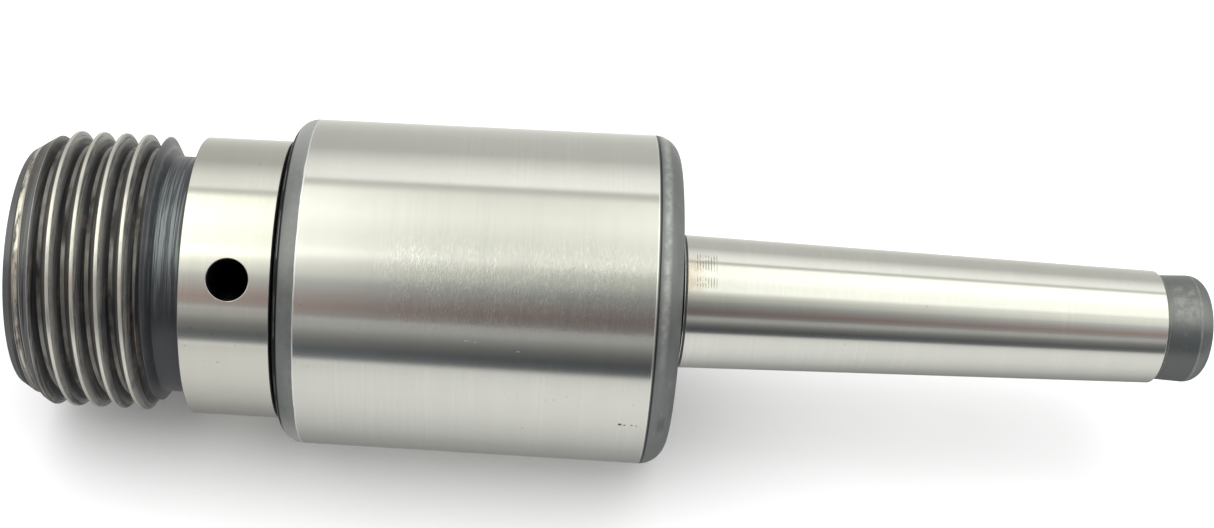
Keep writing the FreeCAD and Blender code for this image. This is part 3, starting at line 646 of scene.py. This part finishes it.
def housing_steel():
    nt = Steel("housing_steel", (0.665, 0.665, 0.640), (0.049, 0.057, 0.056))
    # the edge between the ground body and the black corner wavers a little
    wobble = nt.math("MULTIPLY", nt.math("SUBTRACT", nt.noise(0.08, 0.30, 4.0), 0.5), 0.22)
    x = nt.math("ADD", nt.x, wobble)
    front, rear = HOUSING_FRONT + FRONT_ARC, HOUSING_REAR - REAR_ARC
    body = nt.all_of(nt.step(x, front - 0.08, front + 0.06), nt.step(nt.x, rear + 0.04, rear - 0.04))
    shank = nt.band(nt.x, RELIEF_END - 0.1, TAPER_END + 0.48, 0.04)

    patchy = nt.step(nt.noise(0.2, 0.35, 12.0, 2.0), 0.42, 0.58)
    mottled = nt.step(nt.noise(1.1, 0.9, 51.0, 4.0, 0.65), 0.38, 0.62)
    # painted light: towards the top and the bottom the black front corner is drawn a lighter, duller grey, and
    # its mottling is stronger there
    ends = nt.any_of(nt.step(nt.turn, 108, 66), nt.step(nt.turn, 184, 210))
    # painted shade: the housing's front face and the lip of its mouth, facing the collar across the gap, are
    # near black
    shaded_lip = nt.step(nt.x, HOUSING_FRONT + 0.88, HOUSING_FRONT + 0.70)
    burr = nt.all_of(nt.band(nt.x, HOUSING_FRONT + 0.34, HOUSING_FRONT + 0.46, 0.08), patchy)
    lightened_front_arc = nt.all_of(nt.band(nt.x, HOUSING_FRONT + 0.8, front, 0.1), ends)
    mottled_arc = nt.all_of(nt.band(nt.x, HOUSING_FRONT + 1.3, front, 0.4), mottled)
    # painted highlight: a lighter grey band across the rear corner, on its upper side, broken by mottling
    rear_arc_highlight = nt.all_of(nt.band(nt.x, rear + 0.75, rear + 1.55, 0.35), nt.step(nt.turn, 172, 132))
    shadow = nt.all_of(nt.band(nt.x, HOUSING_REAR - 0.05, RELIEF_END - 0.10, 0.04), nt.step(nt.r, 9.8, 9.2))

    chatter_pitch = 0.36
    chatter = nt.all_of(
        nt.step(nt.math("SINE", nt.math("MULTIPLY", nt.x, math.tau / chatter_pitch)), 0.1, 0.7),
        nt.band(nt.x, -3.0, -0.2, 0.3),
        nt.any_of(nt.band(nt.turn, 91, 107, 2), nt.band(nt.turn, 114, 122, 2)),
        nt.step(nt.noise(1.2, 1.2, 8.0), 0.36, 0.50),
    )
    stain = nt.all_of(
        nt.step(nt.x, SHANK_START - 0.1, SHANK_START),
        nt.step(nt.x, -0.9, -3.6),
        nt.band(nt.turn, 96, 128, 9),
        nt.mix(mottled, 0.5, 1.0),
    )
    # painted shade: the pilot is darker and bluer on its underside
    pilot_underside_shade = nt.all_of(nt.band(nt.x, TAPER_END + 0.5, 61.9, 0.1), nt.step(nt.turn, 122, 156))
    # a lighter mottled patch on the pilot's upper side
    pilot_upper_mottle = nt.all_of(nt.band(nt.x, 58.8, 61.6, 0.4), nt.band(nt.turn, 84, 128, 8), mottled)
    scratches = nt.nicks((-32.2, 151.9, 0.55, 0.12), (-31.1, 152.2, 0.35, 0.10), (-25.7, 154.6, 0.45, 0.12))
    bruises = nt.nicks(
        (-12.3, 181.6, 0.45, 0.35), (-11.7, 181.8, 0.25, 0.20), (-10.8, 181.7, 0.30, 0.16),
        (-10.2, 181.9, 0.20, 0.16),
    )
    marks = [
        # painted light on the front corner's top and bottom
        (lightened_front_arc, 0.80, (0.27, 0.275, 0.27), 0.5, 0.0),
        (mottled_arc, nt.mix(ends, 0.10, 0.32), (0.22, 0.225, 0.22), 0.45, 0.2),
        (nt.band(nt.x, rear + 0.12, rear + 0.34, 0.10), 0.85, DARK_MARK_AND_SHADE, 0.5, 1.0),
        # painted highlight band on the rear corner
        (rear_arc_highlight, nt.mix(mottled, 0.4, 0.9), (0.36, 0.37, 0.36), 0.34, 0.8),
        (nt.nick(-7.1, 182.5, 1.0, 2.6), 0.35, DARK_MARK_AND_SHADE, 0.5, 0.6),
        # painted shade under the pilot
        (pilot_underside_shade, 0.32, (0.030, 0.036, 0.044), 0.5, 1.0),
        (pilot_upper_mottle, 0.40, (0.26, 0.25, 0.23), 0.5, 0.2),
        # painted highlight: a mottled light ring where the pilot's rounding starts
        (nt.band(nt.x, 61.95, 62.10, 0.14), nt.mix(mottled, 0.15, 0.5), (0.40, 0.41, 0.40), 0.42, 0.8),
        # painted shade on the front face and lip
        (shaded_lip, 0.96, DARK_MARK_AND_SHADE, 0.6, 1.0),
        (burr, 0.9, (0.22, 0.23, 0.23), 0.5, 1.0),
        # painted highlights: thin light lines at the front and rear edges of the ground body
        (nt.band(x, front - 0.06, front + 0.10, 0.05), 0.75, BRIGHT_MARK_AND_HIGHLIGHT, 0.60, 1.0),
        (nt.band(nt.x, rear - 0.14, rear - 0.05, 0.04), 0.55, BRIGHT_MARK_AND_HIGHLIGHT, 0.60, 1.0),
        (shadow, 0.96, DARK_MARK_AND_SHADE, 0.6, 1.0),
        # painted highlight: a thin light line where the taper starts
        (nt.band(nt.x, RELIEF_END - 0.02, SHANK_START + 0.04, 0.04), 0.55, BRIGHT_MARK_AND_HIGHLIGHT, 0.60, 1.0),
        (stain, 0.60, (0.60, 0.47, 0.36), 0.30, 1.0),
        (chatter, 0.75, (0.26, 0.23, 0.19), 0.35, 1.0),
        (scratches, 0.8, BRIGHT_MARK_AND_HIGHLIGHT, 0.55, 1.0),
        (bruises, 0.85, DARK_MARK_AND_SHADE, 0.5, 1.0),
    ]
    return nt.finish(nt.any_of(body, shank), nt.ground(0.165), nt.black(0.45), marks, 2.15)


def spindle_steel():
    nt = Steel("spindle_steel", (0.655, 0.645, 0.605), (0.040, 0.042, 0.046))
    collar = nt.all_of(
        nt.band(nt.x, COLLAR_FRONT + COLLAR_EDGE, COLLAR_REAR - COLLAR_EDGE, 0.03),
        nt.step(nt.r, 18.94, 19.01),
    )
    shaft = nt.all_of(nt.step(nt.x, -57.4, -57.2), nt.step(nt.r, 12.2, 12.0))
    # painted light: the cross hole's wall is a pale blue-grey, to lighten the inside of the hole
    hole = nt.all_of(nt.band(nt.x, HOLE_X - 3.0, HOLE_X + 3.0, 0.05), nt.step(nt.r, 18.85, 18.75))

    # offset is the distance along X from the groove's middle, and above is how far the groove's flank would
    # reach over the nose's outline there: 0 at the edge between the two
    turns = nt.math("DIVIDE", nt.math("SUBTRACT", nt.turn, 90.0), 360.0)
    pitches = nt.math("DIVIDE", nt.math("SUBTRACT", nt.x, GROOVE_START), PITCH)
    along = nt.math("SUBTRACT", pitches, turns)
    aside = nt.math("ABSOLUTE", nt.math("SUBTRACT", along, nt.math("ROUND", along)))
    offset = nt.math("MULTIPLY", aside, PITCH)
    flank = nt.math("MULTIPLY_ADD", nt.math("SUBTRACT", offset, ROOT_FLAT / 2), 1 / TAN_30, ROOT)
    bevel = nt.math("MULTIPLY_ADD", nt.math("SUBTRACT", nt.x, NOSE_FRONT), BEVEL_SLOPE, NOSE_FACE)
    above = nt.math("SUBTRACT", flank, nt.math("MINIMUM", bevel, MAJOR))

    threaded = nt.band(nt.x, -92.2, -74.9, 0.1)
    uneven = nt.step(nt.noise(0.3, 0.12, 6.0, 3.0, 0.6), 0.30, 0.62)
    rubbed = nt.noise(1.6, 0.25, 14.0, 4.0, 0.65)
    rear_flank, front_flank = nt.step(nt.facing, 0.15, 0.5), nt.step(nt.facing, -0.15, -0.5)
    # painted highlights: light lines along the crests, and along the edges where the groove meets the nose's
    # outline
    crest_highlight = nt.all_of(nt.step(nt.r, 18.96, 19.03), nt.band(nt.x, -91.0, -74.8, 0.1))
    edge = nt.all_of(nt.band(above, -0.07, 0.05, 0.03), threaded, nt.step(nt.r, 16.9, 17.3))
    # painted sheen: the rear flanks are lighter towards the crests, broken up by rubbed patches
    shoulder = nt.all_of(nt.step(nt.r, 17.9, 19.0), rear_flank, threaded, nt.step(rubbed, 0.28, 0.62))
    brown = nt.all_of(
        front_flank,
        threaded,
        nt.step(nt.r, 18.9, 18.6),
        nt.step(nt.noise(0.5, 0.10, 17.0, 3.0), 0.35, 0.65),
    )
    # painted shade: the thread darkens towards its root
    groove_shade = nt.all_of(threaded, nt.step(nt.r, 18.5, 17.4))
    # painted light: the upper side of the thread is lighter towards its crests
    upper = nt.all_of(threaded, nt.step(nt.r, 18.0, 18.6), nt.step(nt.turn, 74, 54))
    run_out = nt.all_of(
        nt.step(above, 0.02, -0.04),
        nt.step(nt.r, 17.75, 17.55),
        nt.band(nt.x, -93.1, -91.05, 0.1),
        nt.step(offset, 0.75, 0.6),
    )
    streak = nt.all_of(run_out, nt.step(rubbed, 0.36, 0.56))
    tan = nt.all_of(run_out, nt.step(nt.noise(1.1, 0.5, 27.0, 3.0), 0.50, 0.66))
    # painted highlight: a light line along the thread's root
    root_highlight = nt.all_of(nt.step(nt.r, 17.20, 17.11), nt.band(nt.x, -91.0, -75.5, 0.1), uneven)
    rust = nt.all_of(
        threaded, nt.step(nt.r, 18.9, 18.5), nt.step(nt.noise(0.7, 0.25, 61.0, 4.0, 0.6), 0.54, 0.66)
    )
    chased = nt.all_of(threaded, nt.step(nt.r, 17.2, 17.5), nt.step(nt.r, 19.0, 18.8))
    # painted shade: the neck between thread and collar is darker, and darker still on its underside
    neck = nt.all_of(nt.band(nt.x, NECK_FRONT - 1.4, COLLAR_FRONT, 0.02), nt.step(nt.r, 18.9, 16.6))
    scored = nt.all_of(
        nt.step(nt.noise(3.4, 0.06, 44.0, 3.0, 0.65), 0.50, 0.58),
        nt.band(nt.x, -74.4, -69.9, 0.4),
        nt.step(nt.r, 18.2, 17.4),
        nt.step(nt.turn, 165, 120),
    )
    marks = [
        # painted shade in the thread's grooves
        (groove_shade, 0.70, (0.028, 0.026, 0.026), 0.6, 1.0),
        # painted light on the thread's upper side
        (upper, nt.mix(uneven, 0.4, 0.8), (0.30, 0.30, 0.295), 0.45, 0.7),
        (brown, 0.55, (0.055, 0.040, 0.029), 0.5, 0.0),
        # painted sheen on the rear flanks
        (shoulder, 0.75, (0.44, 0.425, 0.38), 0.36, 1.0),
        (rust, 0.22, (0.20, 0.14, 0.10), 0.5, 0.5),
        # painted highlight along the root
        (root_highlight, 0.80, (0.36, 0.355, 0.34), 0.40, 1.0),
        # painted shade on the neck
        (neck, nt.mix(nt.step(nt.turn, 120, 150), 0.35, 0.6), (0.044, 0.048, 0.056), 0.42, 1.0),
        (scored, 0.65, (0.27, 0.31, 0.33), 0.42, 1.0),
        (nt.all_of(chased, nt.step(nt.turned, 0.47, 0.38)), 0.55, (0.010, 0.010, 0.011), 0.6, 1.0),
        (nt.all_of(chased, nt.step(nt.turned, 0.54, 0.66)), 0.40, (0.22, 0.215, 0.20), 0.42, 1.0),
        (streak, 0.80, (0.78, 0.76, 0.70), 0.34, 1.0),
        (tan, 0.40, (0.42, 0.30, 0.19), 0.5, 0.8),
        # painted highlight along the thread's edges
        (edge, nt.mix(uneven, 0.35, 0.8), (0.60, 0.59, 0.56), 0.45, 1.0),
        # painted highlight along the crests
        (crest_highlight, nt.mix(uneven, 0.6, 1.0), (0.72, 0.70, 0.64), 0.36, 1.0),
        # painted light in the cross hole
        (hole, 0.98, (0.22, 0.225, 0.31), 0.9, 0.0),
    ]
    return nt.finish(nt.any_of(collar, shaft), nt.ground(0.175), nt.black(0.42), marks, 1.75)


def plain_steel(name, tone, rough, tint=0.12, ring_scale=6.0, anisotropic=0.5):
    """Turned, drawn or pressed metal for the pieces inside."""
    nt = Nodes(name)
    rings = nt.noise(ring_scale, ring_scale * 0.15, 2.0, 3.0, 0.6)
    stain = nt.noise(0.5, 0.5, 7.0, 3.0, 0.55)
    colour = nt.blend(nt.step(rings, 0.3, 0.7), tinted(tone, 1 - tint), tone)
    colour = nt.blend(nt.all_of(nt.step(stain, 0.5, 0.75), 0.4), colour, tinted(tone, 0.7))
    nt.link(colour, nt.shader.inputs["Base Color"])
    nt.link(nt.mix(nt.step(rings, 0.2, 0.8), rough * 0.8, rough * 1.25), nt.shader.inputs["Roughness"])
    nt.shader.inputs["Metallic"].default_value = 1.0
    nt.around_axis(anisotropic)
    nt.bump((rings, 0.003))
    return nt.material


def felt_wool():
    nt = Nodes("felt_wool")
    fibres = nt.noise(7.0, 7.0, 0.0, 5.0, 0.7)
    soak = nt.noise(0.6, 0.6, 4.0)
    colour = nt.blend(nt.step(fibres, 0.3, 0.7), (0.20, 0.16, 0.10), (0.42, 0.36, 0.25))
    colour = nt.blend(nt.all_of(nt.step(soak, 0.4, 0.7), 0.6), colour, (0.12, 0.09, 0.05))
    nt.link(colour, nt.shader.inputs["Base Color"])
    nt.shader.inputs["Roughness"].default_value = 0.95
    nt.shader.inputs["Sheen Weight"].default_value = 0.3
    nt.bump((fibres, 0.08))
    return nt.material


# ---------------------------------------------------------------- pieces

SPINDLE = spindle_steel()
housing_shape().make("housing_turned", "housing", ["housing"], "ground_steel", housing_steel())
spindle_shape().make("spindle_turned", "spindle", ["spindle"], "black_oxide_steel", SPINDLE)
thread_shape().make("spindle_thread", "spindle", ["spindle"], "black_oxide_steel", SPINDLE)

FINISHES = {
    "gland_steel": plain_steel("gland_black", (0.05, 0.052, 0.055), 0.45),
    "felt": felt_wool(),
    "bearing_steel": plain_steel("bearing_ring_steel", (0.62, 0.62, 0.63), 0.18, 0.06, 9.0, 0.6),
    "shield_steel": plain_steel("shield_sheet", (0.50, 0.50, 0.51), 0.32),
    "spring_steel": plain_steel("phosphated_steel", (0.10, 0.10, 0.105), 0.50),
    "cup_steel": plain_steel("drawn_cup_steel", (0.48, 0.48, 0.50), 0.30),
    "turned_steel": plain_steel("turned_sleeve_steel", (0.52, 0.52, 0.52), 0.32, 0.15, 4.0, 0.7),
    "cage_steel": plain_steel("tumbled_sheet", (0.55, 0.54, 0.52), 0.38, 0.10, 1.5, 0.0),
    "rivet_steel": plain_steel("rivet_wire", (0.58, 0.58, 0.58), 0.30, 0.08, 2.0, 0.0),
    "ball_steel": plain_steel("lapped_steel", (0.76, 0.76, 0.78), 0.06, 0.02, 1.0, 0.0),
    "thrust_cage_brass": plain_steel("punched_brass", (0.70, 0.52, 0.25), 0.34, 0.10, 2.0, 0.2),
}
for entry in frame["record"]["subparts"]:
    if entry["material_slot"] in FINISHES:
        mesh = frame["nodes"][entry["node"]].data
        mesh.materials.clear()
        mesh.materials.append(FINISHES[entry["material_slot"]])


# ---------------------------------------------------------------- studio

scene = bpy.context.scene
scene.view_settings.view_transform = "Standard"


def studio_paper():
    nt = Nodes("studio_paper")
    nt.link(nt.mix(nt.noise(0.03, 0.03, 0.0, 3.0), 0.90, 0.95), nt.shader.inputs["Base Color"])
    nt.shader.inputs["Roughness"].default_value = 0.9
    return nt.material


floor_mesh = bpy.data.meshes.new("studio_floor")
reach, level = 3.0, -HOUSING_R * MM
floor_corners = [(x, y, level) for x, y in ((-reach, -reach), (reach, -reach), (reach, reach), (-reach, reach))]
floor_mesh.from_pydata(floor_corners, [], [(0, 1, 2, 3)])
floor_mesh.materials.append(studio_paper())
floor = bpy.data.objects.new("studio_floor", floor_mesh)
scene.collection.objects.link(floor)
floor.visible_glossy = False

# What the steel reflects, by the angle around the part in degrees: from the floor (-90) and the horizon in
# front (0) over the ceiling (90) to the horizon behind (180). The stops are listed as (degrees, brightness,
# tint).
CEILING, WALL, PAPER = (1.00, 1.01, 0.91), (1.00, 1.00, 0.94), (1.00, 1.00, 0.96)
WOOD, WARM = (1.13, 0.88, 0.81), (1.05, 0.97, 0.93)
HAZE, SHADE = (0.98, 1.01, 0.96), (0.92, 1.00, 1.05)
ROOM = [
    (-130, 0.24, PAPER), (-110, 0.32, PAPER), (-90, 0.48, PAPER), (-70, 0.73, PAPER), (-50, 0.93, PAPER),
    (-34, 1.00, PAPER), (-22, 0.98, PAPER), (-14.5, 0.88, PAPER), (-12, 0.70, PAPER), (-9, 0.12, SHADE),
    (-2, 0.085, SHADE), (5, 0.17, PAPER), (10, 0.30, PAPER), (14.5, 0.46, PAPER), (19, 0.43, PAPER),
    (21.5, 0.19, WARM), (28, 0.135, WOOD), (37, 0.19, WARM), (45, 0.27, HAZE), (53, 0.48, CEILING),
    (60, 0.56, CEILING), (66, 0.79, CEILING), (79, 0.79, CEILING), (95, 0.94, CEILING),
    (114.5, 0.89, CEILING), (117.5, 0.70, WALL), (120.5, 0.66, WALL), (122.5, 1.34, WALL), (134, 1.18, WALL),
    (153, 0.68, WALL), (175, 0.70, WALL), (214, 0.86, WALL),
]
ROOM_TOP = 2.0  # a ramp holds values up to 1, so the stops go in divided by their top and come out times it
ROOM_START = -140.0
# How many times stronger that is towards the nose's end and towards the shank's end: (degrees, times).
TO_NOSE = [
    (-130, 0.84), (-15, 0.86), (-9, 2.2), (0, 2.0), (8, 1.3), (17, 1.1), (22, 2.6), (28, 3.7), (50, 3.2),
    (60, 2.2), (70, 1.4), (108, 1.2), (117, 1.15), (121, 1.15), (124, 0.86), (160, 0.84), (214, 1.0),
]
TO_SHANK = [
    (-12, 1.0), (-6, 1.7), (2, 1.6), (8, 1.1), (18, 1.2), (24, 2.6), (48, 3.0), (56, 2.0), (61, 1.05),
    (66, 0.97), (80, 1.0),
]
TIMES_TOP = 4.0
# The ceiling is twice as bright towards both ends: (degrees, share of that).
CEILING_SPAN = [(54, 0.0), (64, 1.0), (113, 1.0), (117, 0.0)]


class World(Graph):
    """Studio as the steel sees it, and even white light for everything else."""

    def __init__(self):
        world = bpy.data.worlds.new("studio")
        scene.world = world
        world.use_nodes = True
        self.tree = world.node_tree
        self.tree.nodes.clear()
        aside, back, up = self.split(self.tree.nodes.new("ShaderNodeTexCoord").outputs["Generated"])
        angle = self.math("ARCTAN2", up, self.math("MULTIPLY", back, -1.0))
        start = 1.0 - ROOM_START / 360
        self.turns = self.math("FRACT", self.math("ADD", self.math("DIVIDE", angle, math.tau), start))
        room = self.ramp([(degrees, tinted(tint, level / ROOM_TOP)) for degrees, level, tint in ROOM])

        ends = self.step(self.math("ABSOLUTE", self.math("ADD", aside, 0.02)), 0.06, 0.18)
        ceiling = self.math("MULTIPLY", ends, self.curve(CEILING_SPAN))
        gain = self.math("ADD", ceiling, 1.0)
        to_nose, to_shank = self.step(aside, -0.03, -0.20), self.step(aside, 0.18, 0.36)
        for share, stops in ((to_nose, TO_NOSE), (to_shank, TO_SHANK)):
            extra = self.math("SUBTRACT", self.curve(stops, TIMES_TOP), 1.0)
            gain = self.math("MULTIPLY", gain, self.math("MULTIPLY_ADD", share, extra, 1.0))

        choose = self.tree.nodes.new("ShaderNodeMixShader")
        self.link(self.tree.nodes.new("ShaderNodeLightPath").outputs["Is Glossy Ray"], choose.inputs[0])
        self.link(self.background((1.0, 1.0, 1.0, 1.0), 1.0), choose.inputs[1])
        self.link(self.background(room, self.math("MULTIPLY", gain, ROOM_TOP)), choose.inputs[2])
        output = self.tree.nodes.new("ShaderNodeOutputWorld")
        self.link(choose.outputs[0], output.inputs["Surface"])

    def ramp(self, stops):
        """Colour by the angle around the part, from stops of (degrees, colour)."""
        node = self.tree.nodes.new("ShaderNodeValToRGB")
        self.link(self.turns, node.inputs[0])
        elements = node.color_ramp.elements
        elements.remove(elements[1])
        for k, (degrees, colour) in enumerate(stops):
            position = (degrees - ROOM_START) / 360
            stop = elements[0] if k == 0 else elements.new(position)
            stop.position = position
            stop.color = (*colour, 1.0)
        return node.outputs[0]

    def curve(self, stops, top=1.0):
        """Number by the angle around the part, from stops of (degrees, number from 0 to top)."""
        ramp = self.ramp([(degrees, (value / top,) * 3) for degrees, value in stops])
        return self.math("MULTIPLY", ramp, top)

    def background(self, colour, strength):
        node = self.tree.nodes.new("ShaderNodeBackground")
        self.link(colour, node.inputs["Color"])
        self.link(strength, node.inputs["Strength"])
        return node.outputs[0]


World()


def soft_light(name, place, size, power):
    """Square area light over the part, seen by the floor and not mirrored in the steel."""
    data = bpy.data.lights.new(name, "AREA")
    data.shape = "SQUARE"
    data.size = size
    data.energy = power
    lamp = bpy.data.objects.new(name, data)
    scene.collection.objects.link(lamp)
    lamp.location = place
    lamp.visible_glossy = False


soft_light("overhead_soft", (-0.02, 0.03, 0.8), 1.2, 6.2)


# ---------------------------------------------------------------- camera

camera_data = bpy.data.cameras.new("camera")
camera_data.lens = 53.12
camera_data.sensor_width = 36.0
camera_data.shift_x = 0.182
camera_data.clip_start = 0.01
camera = bpy.data.objects.new("camera", camera_data)
camera.location = (-0.02545, -0.17355, 0.17355)
camera.rotation_euler = tuple(math.radians(a) for a in (45.826, 0.875, 5.315))
scene.collection.objects.link(camera)
scene.camera = camera
